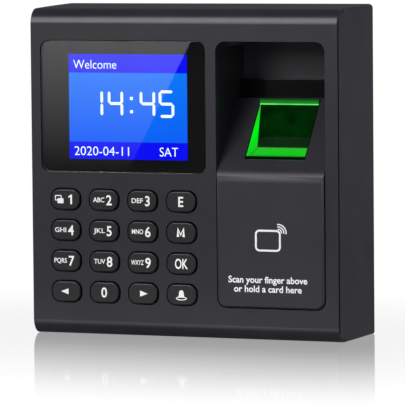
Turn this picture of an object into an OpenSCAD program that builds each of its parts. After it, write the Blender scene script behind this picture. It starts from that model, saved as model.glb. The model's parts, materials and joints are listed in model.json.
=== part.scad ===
// Wall terminal with a fingerprint reader, a card reader, a keypad and a display.
// X runs to the right as the user sees it, Y runs into the wall, Z is up.
// The origin is at the middle of the underside. A depth is counted from the front face towards the wall.

/* [Body] */
// Width of the front face
body_w = 115; // [112:1:145]
// Height of the front face
body_h = 115; // [113:1:145]
// Depth from the front face to the wall
body_d = 35; // [34:0.5:50]
// How much wider the back is than the front, on each side
flare = 0.75; // [0:0.05:1.5]
// How much higher the back is than the front
rise = 1.1; // [0:0.05:1.5]
// Radius of the rolled top and bottom edges of the front
roll_r = 5.4; // [4.5:0.1:6]
// Radius of the upper corners, seen from the front
top_r = 1.5; // [0.5:0.1:2]
// Radius of the lower corners, seen from the front
low_r = 0.6; // [0.2:0.1:1]
// Thickness of the front cover
cover_t = 2.4; // [2:0.1:2.9]
// Thickness of the rear housing's side walls
wall_t = 2; // [1.6:0.1:2.1]
// Thickness of the rear housing's back wall
back_t = 2.2; // [1.8:0.1:3]
// Thickness of the cover's edge in front of the seam
edge_t = 0.6; // [0.5:0.1:1.1]
// Width of the seam between cover and housing
seam_w = 1.2; // [0.5:0.1:1.4]

/* [Display] */
// Width of the window
window_w = 62.4; // [58:0.2:64]
// Height of the window
window_h = 46.3; // [43:0.1:47]
// Corner radius of the window
window_r = 3.2; // [2:0.1:4]
// Distance from the window to the left edge of the front
window_margin = 3.75; // [3.5:0.05:8]
// Distance from the window and the finger bay to the top of the body
top_margin = 11.05; // [10.5:0.05:13]
// Thickness of the window
window_t = 1.2; // [1:0.1:1.3]
// Width of the lit part of the screen
lit_w = 45; // [42:0.5:46]
// Height of the lit part of the screen
lit_h = 37; // [34:0.5:38]

/* [Keypad] */
// Distance between key columns
key_pitch_x = 14.67; // [14.4:0.01:15]
// Distance between key rows
key_pitch_z = 10.86; // [10.6:0.01:11.2]
// Distance from the left edge of the front to the first key column
key_margin = 13; // [12:0.1:15]
// Height of the lowest key row
key_low = 15.4; // [15:0.1:17]
// Width of a key
key_w = 11; // [9:0.1:11.4]
// Height of a key
key_h = 7.2; // [6:0.1:7.6]
// How far a key stands out of the front
key_proud = 0.9; // [0.6:0.1:1.2]
// How far a key travels
key_travel = 0.9; // [0.5:0.1:1]
// Gap around each key
key_gap = 0.45; // [0.2:0.05:0.5]

/* [Finger bay] */
// Width of the finger bay and of the card panel under it
bay_w = 40.4; // [38:0.2:42]
// Distance from the bay to the right edge of the front
bay_margin = 4.5; // [4.2:0.1:6]
// Corner radius of the bay
bay_r = 3.5; // [2:0.1:4]
// Depth of the bay
bay_d = 27.5; // [26:0.1:28]
// How far the card panel stands out of the front
panel_proud = 1; // [0.5:0.1:1.2]
// Distance from the underside to the card panel
panel_low = 11.2; // [11:0.1:13]
// Gap around the card panel
panel_gap = 0.35; // [0.2:0.05:0.5]
// Distance from the top of the bay down to the lip of the ramp
lip_drop = 46.45; // [44:0.05:47]
// Angle between the ramp and the vertical
ramp_tilt = 38.8; // [36:0.1:40]
// Radius of the lip between the card panel and the ramp
lip_r = 7; // [4:0.5:9]
// Width of the prism
prism_w = 21.9; // [18:0.1:23]
// Distance from the middle of the prism to the right edge of the front
prism_margin = 24.4; // [23:0.1:25.5]

/* [Wall fixing] */
// Width of the wall plate
plate_w = 88; // [80:1:92]
// Height of the wall plate
plate_h = 85; // [78:1:88]
// Thickness of the wall plate
plate_t = 1.6; // [1.2:0.1:2]
// Distance between the wall holes, both ways
wall_pitch = 60; // [50:1:65]
// Diameter of the wall holes
wall_hole_d = 4.5; // [3.5:0.1:5.5]

/* [Hidden] */
$fn = 64;
KEYS = ["key_1", "key_2", "key_3", "key_exit", "key_4", "key_5", "key_6", "key_menu",
        "key_7", "key_8", "key_9", "key_ok", "key_left", "key_0", "key_right", "key_bell"];

// The card panel is what stands out furthest, so the box's middle lies between it and the wall.
face_y = (panel_proud - body_d) / 2;
big = 400;
hair = 0.1;                   // gap between two pieces that are clipped or screwed together
snug = 0.15;                  // gap around a piece that drops into a pocket
clear_t = 0.3;                // gap between two pieces that don't touch
side_x = body_w / 2;
wall_x = side_x - wall_t;     // inner face of a side wall
skirt_t = 0.95;               // thickness of the cover's tongue inside the housing
tongue_x = wall_x - snug;
inner_x = tongue_x - skirt_t;
skirt_d = 6.4;                // depth where the cover's top and bottom end
cover_top = body_h + rise * skirt_d / body_d;
tongue_d = skirt_d + 2.6;
back_d = body_d - 1.8;        // depth of the floor of the wall plate's recess
floor_d = back_d - back_t;    // inner face of the back wall

window_x0 = window_margin - side_x;
window_x1 = window_x0 + window_w;
top_z = body_h - top_margin;
window_z0 = top_z - window_h;
ledge_w = 1.6;                // width of the ledge that carries the window
tape_t = 0.2;
window_front = 0.1;
ledge_d = window_front + window_t + tape_t;
lit_x0 = window_x0 + 14.1 - window_margin;
lit_z0 = window_z0 + 4.6;

bay_x1 = side_x - bay_margin;
bay_x0 = bay_x1 - bay_w;
lug_x = [bay_x0 + 12.2, bay_x1 - 12.2];   // lugs that screw the bay to the cover
lip_z = top_z - lip_drop;
slope = tan(ramp_tilt);
ledge_z = lip_z + 26;         // the ramp ends in a ledge at this height
hood_z = lip_z + 32.6;
hood_d = bay_d - 4.5;
sheet_d = 2;                  // thickness of the ramp, measured along the depth
bay_t = 1.2;                  // thickness of the bay's side walls
bay_back_t = 1.5;
flange_d = cover_t + hair;    // front of what lies against the inside of the cover
flange_t = 1.2;
ledge_t = 1.6;                // thickness of the bay's ledge
lug_d = 6.6;                  // front of the lugs that screw the bay to the cover
lug_t = 1.5;
function ramp_z(d) = lip_z + (d + panel_proud) / slope;
function ramp_d(z) = (z - lip_z) * slope - panel_proud;

prism_x = side_x - prism_margin;
prism_low = lip_z + 5.7;
prism_front = lip_z + 6;      // lower edge of the finger face
prism_high = lip_z + 23.8;    // upper edge of the finger face
prism_top = lip_z + 25.8;
prism_back = 19.4;
prism_gap = 0.3;

board_d = 6.6;                // front of the mainboard
board_t = 1.6;
board_back = board_d + board_t;
board_x0 = snug - inner_x;
board_x1 = bay_x0 - bay_t - 1.4;
board_z0 = 3.6;
board_z1 = body_h - 3.6;
key_x0 = key_margin - side_x;
keys_top = key_low + 3 * key_pitch_z + key_h / 2;
key_r = 3.05;
key_flange = 0.9;             // how far a key's flange is wider than the key, on each side
key_flange_t = 0.9;
mat_t = 1;

post_x = side_x - 7.5;        // corner posts that the housing screws pass into
post_z = 5.9;
post_r = 3;
post_end = floor_d - 4.2;
plate_z0 = (body_h - plate_h) / 2;
plate_gap = 0.5;
socket_t = 1.6;
socket_front = floor_d - 5.6;
socket_back = socket_front + socket_t;
cable_w = 40;                 // opening for the building's wires
cable_h = 24;
cable_z = plate_z0 + 19;
socket_top = cable_z + 16;    // upper edge of the socket board

panel_t = 1.4;                // glass of the display
driver_w = 4;                 // strip beside the picture that carries the driver chip
panel_rim = 1.5;
panel_x0 = lit_x0 - panel_rim;
panel_x1 = lit_x0 + lit_w + driver_w;
panel_z0 = lit_z0 - panel_rim;
panel_z1 = lit_z0 + lit_h + panel_rim;
panel_d = ledge_d + hair;
light_t = 2;
light_d = panel_d + panel_t;
frame_t = 0.3;
frame_d = light_d + light_t;
flex_w = 18;
flex_z = (panel_z0 + panel_z1) / 2;
flex_t = 0.12;
flex_x = panel_x1 + 1.1;

cell_x = -10;                 // coin cell that keeps the clock running
cell_z = board_z1 - 27.4;
cell_r = 10;

antenna_d = sheet_d - panel_proud;
antenna_t = 0.8;

sensor_ear_d = prism_back + 1;
sensor_hole_z = lip_z + 10.5;
sensor_lug_r = 2.1;
sensor_lug_d = ramp_d(sensor_hole_z + sensor_lug_r) + 0.2;
camera_z = prism_low + 9;
camera_front = bay_d - 1;
camera_t = 1.2;
camera_back = camera_front + camera_t;
led_d = 9;
led_z = prism_low - 3.4;
lens_r = 4.5;
ribbon_z = lip_z + 7;
ribbon_w = 8;
ribbon_t = 0.3;
ribbon_x = board_x1 - 4;
ribbon_d = camera_back + 0.4;

socket_z = 0.8;               // the sockets' mouths lie this far above the underside
usb_x = 14;
usb_w = 14.5;
usb_t = 7;
usb_l = 14;
usb_d = socket_front - hair - usb_t;
jack_x = -9;
jack_w = 9;
jack_t = 11;
jack_l = 14;
jack_d = socket_front - hair - jack_t;
tamper_x = 24;
tamper_z = cable_z;
plunger_r = 1.75;
speaker_w = 28;
speaker_l = 14;
speaker_t = 5;
speaker_d = 12;
speaker_x = speaker_w / 2 + post_r + 2 - post_x;
tab_w = 6;                    // tongue of the wall plate that the lock screw holds
lock_d = body_d - 5.5;
lock_tab_z = 5.5;
hook_x = 25;
hook_z = plate_z0 + plate_h - 8;
hook_w = 8;

// A flat piece: a shape drawn in X and Z, from depth d and t thick
module flat(d, t)
    translate([0, face_y + d + t, 0]) rotate([90, 0, 0]) linear_extrude(height = t) children();

// A long piece: a shape drawn in depth and Z, from x0 to x1
module long_x(x0, x1)
    translate([x0, face_y, 0]) rotate([90, 0, 90]) linear_extrude(height = x1 - x0) children();

// A tall piece: a shape drawn in X and depth, from z0 to z1
module tall(z0, z1) translate([0, face_y, z0]) linear_extrude(height = z1 - z0) children();

module box2(x0, z0, x1, z1) translate([x0, z0]) square([x1 - x0, z1 - z0]);

// A rectangle with round corners
module round2(x0, z0, x1, z1, r) {
    box2(x0 + r, z0, x1 - r, z1);
    box2(x0, z0 + r, x1, z1 - r);
    for (x = [x0 + r, x1 - r], z = [z0 + r, z1 - r]) translate([x, z]) circle(r);
}

// A rectangle whose two corners at low depth are rolled
module rolled2(d0, d1, z0, z1, r) intersection() {
    union() {
        box2(d0 + r, z0, d1, z1);
        box2(d0, z0 + r, d0 + r, z1 - r);
        for (z = [z0 + r, z1 - r]) translate([d0 + r, z]) circle(r);
    }
    box2(d0, z0, d1, z1);
}

module rod_y(x, z, d, t, r) flat(d, t) translate([x, z]) circle(r);

// Quarter ring for the bends of a strip
module quarter2(r, t) difference() {
    intersection() { circle(r + t); square(r + t); }
    circle(r);
}

// Pad with round corners and a rounded front edge; its front face is at depth d
module pad(x0, z0, x1, z1, r, d, t, edge) {
    module half2(l) {
        box2(0, edge, l, t);
        box2(0, 0, l - edge, edge);
        translate([l - edge, edge]) circle(edge);
    }
    w = (x1 - x0) / 2;
    h = (z1 - z0) / 2;
    translate([(x0 + x1) / 2, face_y + d, (z0 + z1) / 2]) {
        for (m = [0, 1]) mirror([m, 0, 0]) {
            translate([0, 0, r - h]) linear_extrude(height = 2 * (h - r)) half2(w);
            for (n = [0, 1]) mirror([0, 0, n]) {
                translate([w - r, 0, h - r]) rotate([-90, 0, 0]) rotate_extrude() half2(r);
                rotate([0, 90, 0]) linear_extrude(height = w - r) rotate(180) mirror([0, 1]) half2(h);
            }
        }
    }
}

// Outer shape of the whole body: sides that open towards the back, round corners
module envelope() {
    back_x = side_x + flare;
    back_z = body_h + rise;
    intersection() {
        flat(0, body_d) {
            round2(-back_x, body_h / 2, back_x, back_z, top_r);
            round2(-back_x, 0, back_x, body_h * 2 / 3, low_r);
        }
        tall(0, back_z) polygon([[-side_x, 0], [side_x, 0], [back_x, body_d], [-back_x, body_d]]);
        long_x(-back_x, back_x) polygon([[0, 0], [0, body_h], [body_d, back_z], [body_d, 0]]);
    }
}

module post_places()
    for (x = [-post_x, post_x], z = [post_z, body_h - post_z]) translate([x, 0, z]) children();
module board_holes()
    for (p = [[-44, keys_top + 3.4], [-1, keys_top + 3.4], [-36, body_h - 6.5], [-2, body_h - 6.5],
              [-30, 7], [4, 7]]) translate([p[0], 0, p[1]]) children();
module insert_holes() for (x = lug_x, z = [7, body_h - 6.5]) translate([x, 0, z]) children();
module sensor_holes() for (x = [prism_x - prism_w / 2 - 6, prism_x + prism_w / 2 + 5.5])
    translate([x, 0, sensor_hole_z]) children();
module socket_holes() for (x = [-24.5, 24.5], z = [12.5, socket_top - 3.5]) translate([x, 0, z]) children();

// Screw with its head at the back; head_d is the depth of the seat under the head
module screw(head_d, length, r, head_r, head_t) {
    rod_y(0, 0, head_d - length, length, r);
    difference() {
        rod_y(0, 0, head_d, head_t, head_r);
        for (a = [0, 90]) translate([0, face_y + head_d + head_t, 0]) rotate([0, a, 0])
            cube([head_r * 1.2, head_t, 0.5], center = true);
    }
}

module key_places() for (i = [0:3], j = [0:3])
    translate([key_x0 + i * key_pitch_x, 0, key_low + j * key_pitch_z]) children();

module front_cover() color([0.16, 0.16, 0.18]) {
    difference() {
        union() {
            intersection() {
                envelope();
                long_x(-big, big) rolled2(0, skirt_d, 0, cover_top, roll_r);
            }
            // tongue that the housing slides over
            flat(roll_r / 2, tongue_d - roll_r / 2)
                box2(-tongue_x, wall_t + snug, tongue_x, body_h - wall_t - snug);
        }
        long_x(-inner_x, inner_x) let (in_z = wall_t + snug + skirt_t)
            rolled2(cover_t, big, in_z, body_h - in_z, roll_r - cover_t);
        for (m = [0, 1]) mirror([m, 0, 0]) long_x(tongue_x, big)
            rolled2(edge_t, big, edge_t, body_h - edge_t, roll_r - edge_t);
        // window pocket and ledge
        flat(-1, 1 + ledge_d) round2(window_x0 - snug, window_z0 - snug, window_x1 + snug, top_z + snug,
                                     window_r + snug);
        flat(0, big) round2(window_x0 + ledge_w, window_z0 + ledge_w, window_x1 - ledge_w,
                            top_z - ledge_w, window_r / 2);
        flat(-1, big) round2(bay_x0, panel_low, bay_x1, top_z, bay_r);
        key_places() flat(-1, big) let (w = key_w / 2 + key_gap, h = key_h / 2 + key_gap)
            round2(-w, -h, w, h, key_r + key_gap);
    }
    // screw posts
    difference() {
        union() {
            post_places() rod_y(0, 0, cover_t, post_end - hair - cover_t, post_r);
            board_holes() rod_y(0, 0, cover_t, board_d - cover_t, 2);
            insert_holes() rod_y(0, 0, cover_t, lug_d - hair - cover_t, 2);
        }
        post_places() rod_y(0, 0, post_end - 14, big, 1.25);
        board_holes() rod_y(0, 0, cover_t + 0.6, big, 0.9);
        insert_holes() rod_y(0, 0, cover_t + 0.6, big, 0.9);
    }
}

module rear_housing() color([0.15, 0.15, 0.17]) {
    rim_d = edge_t + clear_t;
    difference() {
        intersection() {
            envelope();
            union() {
                long_x(-big, big) box2(skirt_d + clear_t, 0, big, big);
                // side walls reach forward under the cover's edge
                for (m = [0, 1]) mirror([m, 0, 0]) long_x(wall_x, big) intersection() {
                    rolled2(rim_d, big, rim_d, body_h - rim_d, roll_r - rim_d);
                    box2(edge_t + seam_w, 0, big, body_h);
                }
            }
        }
        // inside
        difference() {
            flat(-1, floor_d + 1) box2(-wall_x, wall_t, wall_x, body_h - wall_t);
            post_places() rod_y(0, 0, post_end, big, post_r + 0.6);
            socket_holes() rod_y(0, 0, socket_back, big, 2.2);
            // boss around the lock screw
            translate([0, face_y + lock_d, 0]) cylinder(r = 4.2, h = lock_tab_z - hair);
            // box that stands around the speaker
            translate([speaker_x, 0, 0]) long_x(-speaker_w / 2 - 1.4, speaker_w / 2 + 1.4)
                box2(speaker_d - 1.4, 0, speaker_d + speaker_l + 1.4, wall_t + 3);
        }
        translate([speaker_x, 0, 0]) long_x(-speaker_w / 2 - snug, speaker_w / 2 + snug)
            box2(speaker_d - snug, wall_t, speaker_d + speaker_l + snug, wall_t + 8);
        // recess for the wall plate and its tongue
        flat(back_d, big) {
            box2(-plate_w / 2 - plate_gap, plate_z0 - plate_gap,
                 plate_w / 2 + plate_gap, plate_z0 + plate_h + plate_gap);
            box2(-tab_w / 2 - plate_gap, lock_tab_z - 0.4, tab_w / 2 + plate_gap, plate_z0);
        }
        flat(0, big)
            box2(-tab_w / 2 - plate_gap, lock_tab_z, tab_w / 2 + plate_gap, lock_tab_z + plate_t + 0.4);
        post_places() {
            rod_y(0, 0, post_end + 2, big, 2.8);
            rod_y(0, 0, 0, big, 1.7);
        }
        socket_holes() rod_y(0, 0, socket_back - 1, floor_d - socket_back + 1.8, 1.05);
        // wires, hooks and tamper plunger pass through the back wall
        flat(floor_d - 1, big)
            box2(-cable_w / 2, cable_z - cable_h / 2, cable_w / 2, cable_z + cable_h / 2);
        for (x = [-hook_x, hook_x]) flat(floor_d - 1, big)
            box2(x - hook_w / 2 - plate_gap, hook_z - 1, x + hook_w / 2 + plate_gap, hook_z + 6.5);
        rod_y(tamper_x, tamper_z, floor_d - 1, big, plunger_r + hair);
        // sockets and speaker slots in the underside, lock screw hole
        translate([0, face_y, -1]) {
            translate([usb_x - usb_w / 2 - snug, usb_d - snug])
                cube([usb_w + 2 * snug, usb_t + 2 * snug, 5]);
            translate([jack_x - jack_w / 2 - snug, jack_d - snug])
                cube([jack_w + 2 * snug, jack_t + 2 * snug, 5]);
            for (i = [-4:4]) translate([speaker_x + i * 2.6 - 0.6, speaker_d + 2])
                cube([1.2, speaker_l - 4, 5]);
            translate([0, lock_d]) cylinder(r = 1.7, h = 9);
            translate([0, lock_d]) cylinder(r = 3, h = 3.2);
        }
    }
}

module window() color([0.04, 0.04, 0.05])
    flat(window_front, window_t) round2(window_x0, window_z0, window_x1, top_z, window_r);

module window_tape() color([0.02, 0.02, 0.02]) flat(window_front + window_t, tape_t) difference() {
    round2(window_x0 + 0.2, window_z0 + 0.2, window_x1 - 0.2, top_z - 0.2, window_r - 0.2);
    box2(lit_x0, lit_z0, lit_x0 + lit_w, lit_z0 + lit_h);
}

module display_panel() color([0.15, 0.35, 0.85]) flat(panel_d, panel_t)
    box2(panel_x0, panel_z0, panel_x1, panel_z1);

module display_backlight() color([0.9, 0.9, 0.88]) flat(light_d, light_t)
    box2(panel_x0, panel_z0, panel_x1, panel_z1);

module display_frame() color([0.75, 0.76, 0.78]) difference() {
    flat(panel_d + 0.4, frame_d + frame_t - panel_d - 0.4)
        box2(panel_x0 - frame_t - hair, panel_z0 - frame_t - hair,
             panel_x1 + frame_t + hair, panel_z1 + frame_t + hair);
    flat(0, frame_d) box2(panel_x0 - hair, panel_z0 - hair, panel_x1 + hair, panel_z1 + hair);
    // the flexible print leaves here
    tall(flex_z - flex_w / 2 - 1, flex_z + flex_w / 2 + 1)
        box2(panel_x1 - 3, 0, panel_x1 + 5, frame_d - 0.6);
}

module display_flex() color([0.8, 0.5, 0.15]) tall(flex_z - flex_w / 2, flex_z + flex_w / 2) {
    r = 0.4;
    front = panel_d + 0.6;
    rear = (frame_d + frame_t + board_d) / 2;
    box2(panel_x1, front, flex_x - r, front + flex_t);
    translate([flex_x - r, front + flex_t + r]) mirror([0, 1]) quarter2(r, flex_t);
    box2(flex_x, front + flex_t + r, flex_x + flex_t, rear - r);
    translate([flex_x - r, rear - r]) quarter2(r, flex_t);
    box2(flex_x - 10, rear, flex_x - r, rear + flex_t);
}

module key(i, j) color([0.1, 0.1, 0.11])
    translate([key_x0 + i * key_pitch_x, 0, key_low + (3 - j) * key_pitch_z]) {
        pad(-key_w / 2, -key_h / 2, key_w / 2, key_h / 2, key_r, -key_proud,
            key_proud + flange_d + 0.2, 0.5);
        flat(flange_d, key_flange_t) let (w = key_w / 2 + key_flange, h = key_h / 2 + key_flange)
            round2(-w, -h, w, h, key_r);
    }

module keypad_mat() color([0.55, 0.55, 0.56]) {
    key_end = flange_d + key_flange_t + key_travel + 0.2;
    margin_x = key_w / 2 + 1.6;
    margin_z = key_h / 2 + 1.2;
    flat(board_d - mat_t, mat_t) box2(key_x0 - margin_x, key_low - margin_z,
        key_x0 + 3 * key_pitch_x + margin_x, key_low + 3 * key_pitch_z + margin_z);
    key_places() rod_y(0, 0, key_end, board_d - mat_t - key_end, 2.4);
}

module mainboard() color([0.05, 0.3, 0.15]) difference() {
    flat(board_d, board_t) box2(board_x0, board_z0, board_x1, board_z1);
    for (z = [0, board_z1 - 5.8]) flat(0, big)
        box2(-side_x, z, 3.8 + post_r - post_x, z + post_z + post_r + 0.4);
    board_holes() rod_y(0, 0, 0, big, 1.2);
}

module mainboard_screws() color("silver") board_holes() screw(board_back, 4.6, 0.85, 1.9, 1.2);

module chip(x, z, w, h, t) flat(board_back, t) box2(x - w / 2, z - h / 2, x + w / 2, z + h / 2);
module mainboard_chips() color([0.08, 0.08, 0.09]) {
    chip(-27, board_z1 - 45.4, 14, 14, 1.4);
    chip(-8, board_z1 - 43.4, 11, 8, 1.1);
    chip(-45, board_z1 - 41.4, 8, 6, 1.2);
    chip(-42, board_z1 - 23.4, 6, 5, 1.5);
    chip(-2, board_z1 - 15.4, 5, 4, 1.2);
    chip(-40, 34, 7, 7, 3.2);
}

module mainboard_capacitors() color([0.7, 0.72, 0.75])
    for (p = [[-48, 22, 3.15, 7], [-48, 46, 3.15, 7], [-18, board_z1 - 13.4, 2.5, 5.5],
              [-26, board_z1 - 13.4, 2.5, 5.5]]) rod_y(p[0], p[1], board_back, p[3], p[2]);

module mainboard_connectors() color([0.9, 0.88, 0.8]) {
    // flat cable connector for the reader
    flat(board_back, 2) difference() {
        box2(ribbon_x - 6, ribbon_z - ribbon_w / 2 - 1, ribbon_x - 1, ribbon_z + ribbon_w / 2 + 1);
        box2(ribbon_x - 3, ribbon_z - ribbon_w / 2 - hair, ribbon_x, ribbon_z + ribbon_w / 2 + hair);
    }
    // pin header towards the socket board
    flat(board_back, socket_front - 0.2 - board_back) box2(-24, 28, -2, 33);
    // connector of the card antenna
    flat(board_back, 3) box2(board_x1 - 6, 36, board_x1 - 1, 44);
}

module cell_holder() color([0.12, 0.12, 0.13]) difference() {
    rod_y(cell_x, cell_z, board_back, 5, cell_r + 1.4);
    rod_y(cell_x, cell_z, board_back + 1.2, 5, cell_r + snug);
    flat(board_back + 2.6, 5) box2(cell_x - 4, cell_z, cell_x + 4, cell_z + 20);
}
module coin_cell() color("silver") rod_y(cell_x, cell_z, board_back + 1.2, 3.2, cell_r);

// Side profile of the space inside the bay
module bay_space2() polygon([[-big, lip_z], [-panel_proud, lip_z], [ramp_d(ledge_z), ledge_z],
    [bay_d, ledge_z], [bay_d, big], [-big, big]]);

// Side profile of the card panel and ramp, with a round lip
module ramp2(end_d, low_z) {
    reach = lip_r * tan(ramp_tilt / 2);
    difference() {
        polygon([[-panel_proud, low_z], [-panel_proud, lip_z], [end_d, ramp_z(end_d)],
                 [end_d, ramp_z(end_d - sheet_d)], [sheet_d - panel_proud, lip_z],
                 [sheet_d - panel_proud, low_z]]);
        difference() {
            polygon([[-panel_proud - 1, lip_z - reach], [-panel_proud, lip_z - reach],
                     [lip_r - panel_proud, lip_z - reach],
                     [-panel_proud + reach * sin(ramp_tilt), lip_z + reach * cos(ramp_tilt)],
                     [-panel_proud - 1, lip_z + reach]]);
            translate([lip_r - panel_proud, lip_z - reach]) circle(lip_r);
        }
    }
}

module reader_insert() color([0.17, 0.17, 0.19]) {
    back = bay_d + bay_back_t;
    join_d = flange_d + 1.4;
    x0 = bay_x0 + panel_gap;
    x1 = bay_x1 - panel_gap;
    low = panel_low + panel_gap;
    r = bay_r - panel_gap;
    rim = 1.2;
    difference() {
        union() {
            // card panel with rounded edges, and the ramp up to the shell
            intersection() {
                long_x(x0, x1) ramp2(join_d, low);
                pad(x0, low, x1, lip_z + 12, r, -panel_proud, join_d + 2, 0.9);
            }
            // rim behind the panel, and flange behind the cover
            flat(antenna_d - hair, flange_d + flange_t - antenna_d + hair) difference() {
                round2(x0, low, x1, lip_z + 6, r);
                round2(x0 + rim, low + rim, x1 - rim, lip_z + 8, r - rim);
                box2(-big, lip_z, big, big);
            }
            flat(flange_d, flange_t) difference() {
                round2(bay_x0 - bay_t, panel_low - bay_t, bay_x1 + bay_t, lip_z + 6, bay_r + bay_t);
                round2(x0 + rim, low + rim, x1 - rim, lip_z + 8, r - rim);
                box2(-big, lip_z, big, big);
            }
            // shell of the bay
            difference() {
                intersection() {
                    long_x(bay_x0 - bay_t, bay_x1 + bay_t)
                    polygon([[flange_d, ramp_z(flange_d - sheet_d)],
                        [flange_d, top_z + bay_t], [back, top_z + bay_t], [back, ledge_z - ledge_t],
                        [ramp_d(ledge_z - ledge_t) + sheet_d, ledge_z - ledge_t]]);
                    flat(flange_d, big)
                        round2(bay_x0 - bay_t, 0, bay_x1 + bay_t, top_z + bay_t, bay_r + bay_t);
                }
                intersection() {
                    long_x(bay_x0, bay_x1) bay_space2();
                    flat(-1, big) round2(bay_x0, 0, bay_x1, top_z, bay_r);
                }
            }
            // lugs for the screws into the cover
            for (x = lug_x) {
                flat(lug_d, lug_t) box2(x - 3.5, top_z + bay_t / 2, x + 3.5, body_h - 4);
                flat(lug_d, lug_t) box2(x - 3.5, 4.2, x + 3.5, low + rim);
                flat(antenna_d - hair, lug_d + lug_t - antenna_d + hair)
                    box2(x - 3.5, low, x + 3.5, low + rim);
            }
            // lugs for the sensor screws
            sensor_holes() rod_y(0, 0, sensor_lug_d, sensor_ear_d - sensor_lug_d, sensor_lug_r);
        }
        // the prism shows through the ramp and the ledge
        long_x(prism_x - prism_w / 2 - prism_gap, prism_x + prism_w / 2 + prism_gap)
            box2(-panel_proud, prism_low - prism_gap, prism_back + prism_gap, ledge_z + 1);
        insert_holes() rod_y(0, 0, lug_d - 1, 4, 1.2);
        sensor_holes() rod_y(0, 0, sensor_ear_d - 7, 9, 0.9);
    }
}

module insert_screws() color("silver") insert_holes() screw(lug_d + lug_t, 4.9, 0.85, 2, 1.2);

module antenna_board() color([0.05, 0.3, 0.15])
    flat(antenna_d, antenna_t) round2(bay_x0 + panel_gap + 1.5, panel_low + panel_gap + 1.5,
                                      bay_x1 - panel_gap - 1.5, lip_z - 1, 1.5);

module antenna_coil() color([0.8, 0.5, 0.25])
    for (i = [0:3]) flat(antenna_d + antenna_t, 0.15) difference() {
        m = panel_gap + 2.5 + i * 1.2;
        round2(bay_x0 + m, panel_low + m, bay_x1 - m, lip_z - m + 1, 1.2);
        round2(bay_x0 + m + 0.7, panel_low + m + 0.7, bay_x1 - m - 0.7, lip_z - m + 0.3, 0.5);
    }

module sensor_prism() color([0.1, 0.85, 0.15]) long_x(prism_x - prism_w / 2, prism_x + prism_w / 2)
    polygon([[ramp_d(prism_front) + 0.1, prism_front], [ramp_d(prism_high) + 0.1, prism_high],
             [ramp_d(prism_high) + 0.1, prism_top], [prism_back, prism_top], [prism_back, prism_low],
             [ramp_d(prism_front) + 0.3, prism_low]]);

module sensor_hood() color([0.03, 0.03, 0.04])
    flat(hood_d, bay_d - hood_d) box2(bay_x0 + hair, ledge_z, bay_x1 - hair, hood_z);

module sensor_housing() color([0.06, 0.06, 0.07]) {
    x0 = prism_x - prism_w / 2 - 3;
    x1 = prism_x + prism_w / 2 + 3;
    low = led_z - 2.2;
    rest = sheet_d + hair;
    first = 7;
    difference() {
        union() {
            long_x(x0, x1) polygon([[first, low], [camera_front - hair, low],
                [camera_front - hair, ledge_z - 1.8], [ramp_d(ledge_z - 1.8) + rest, ledge_z - 1.8],
                [first, ramp_z(first - rest)]]);
            sensor_holes() flat(sensor_ear_d, 1.5) box2(-2.4, -3, 2.4, 3);
            for (x = [x0 - 3, x1 - 1]) flat(sensor_ear_d, 1.5)
                box2(x, sensor_hole_z - 3, x + 4, sensor_hole_z + 3);
        }
        // light box around the prism, the lamps and the lens
        long_x(prism_x - prism_w / 2 - hair, prism_x + prism_w / 2 + hair)
            box2(0, prism_low, prism_back + hair, big);
        long_x(prism_x - prism_w / 2 + 1, prism_x + prism_w / 2 - 1)
            box2(led_d - hair, led_z, prism_back - 1, big);
        rod_y(prism_x, camera_z, prism_back - 1, big, lens_r + 0.05);
        sensor_holes() rod_y(0, 0, 0, big, 1.2);
    }
}
module sensor_screws() color("silver") sensor_holes() screw(sensor_ear_d + 1.5, 7, 0.85, 1.9, 1.2);

module sensor_led_board() color([0.9, 0.9, 0.88])
    long_x(prism_x - prism_w / 2 + 1.2, prism_x + prism_w / 2 - 1.2)
        box2(led_d, led_z, prism_back - 1.2, led_z + 1);

module sensor_leds() color([0.3, 1, 0.4])
    for (x = [4 - prism_w / 2, 0, prism_w / 2 - 4], d = [3, 6.5]) translate([prism_x + x, 0, 0])
        long_x(-1.4, 1.4) box2(led_d + d - 1, led_z + 1, led_d + d + 1, led_z + 2.1);

module sensor_lens() color([0.1, 0.1, 0.12]) difference() {
    rod_y(prism_x, camera_z, prism_back + 0.3, camera_front - prism_back - 0.3, lens_r);
    rod_y(prism_x, camera_z, prism_back + 0.2, 1.4, lens_r - 1.4);
}

module sensor_camera_board() color([0.05, 0.3, 0.15]) flat(camera_front, camera_t)
    box2(prism_x - prism_w / 2 - 2.5, led_z - 2, prism_x + prism_w / 2 + 2.5, ledge_z - 2);

module sensor_camera_chips() color([0.08, 0.08, 0.09]) flat(camera_back, 1) {
    box2(prism_x - 4, camera_z - 4, prism_x + 4, camera_z + 4);
    box2(prism_x + 6, camera_z - 6, prism_x + 10, camera_z + 1);
    box2(prism_x - prism_w / 2 - 2, ribbon_z - ribbon_w / 2 - 1,
         prism_x - prism_w / 2 + 1, ribbon_z + ribbon_w / 2 + 1);
}

module sensor_ribbon() color([0.85, 0.86, 0.88]) tall(ribbon_z - ribbon_w / 2, ribbon_z + ribbon_w / 2) {
    r = 1;
    end_x = prism_x - prism_w / 2 - 2;
    near = board_back + 0.8;
    box2(ribbon_x + r + ribbon_t, ribbon_d, end_x, ribbon_d + ribbon_t);
    translate([ribbon_x + r + ribbon_t, ribbon_d - r]) mirror([1, 0]) quarter2(r, ribbon_t);
    box2(ribbon_x, near + ribbon_t + r, ribbon_x + ribbon_t, ribbon_d - r);
    translate([ribbon_x - r, near + ribbon_t + r]) mirror([0, 1]) quarter2(r, ribbon_t);
    box2(ribbon_x - 2.8, near, ribbon_x - r, near + ribbon_t);
}

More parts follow.
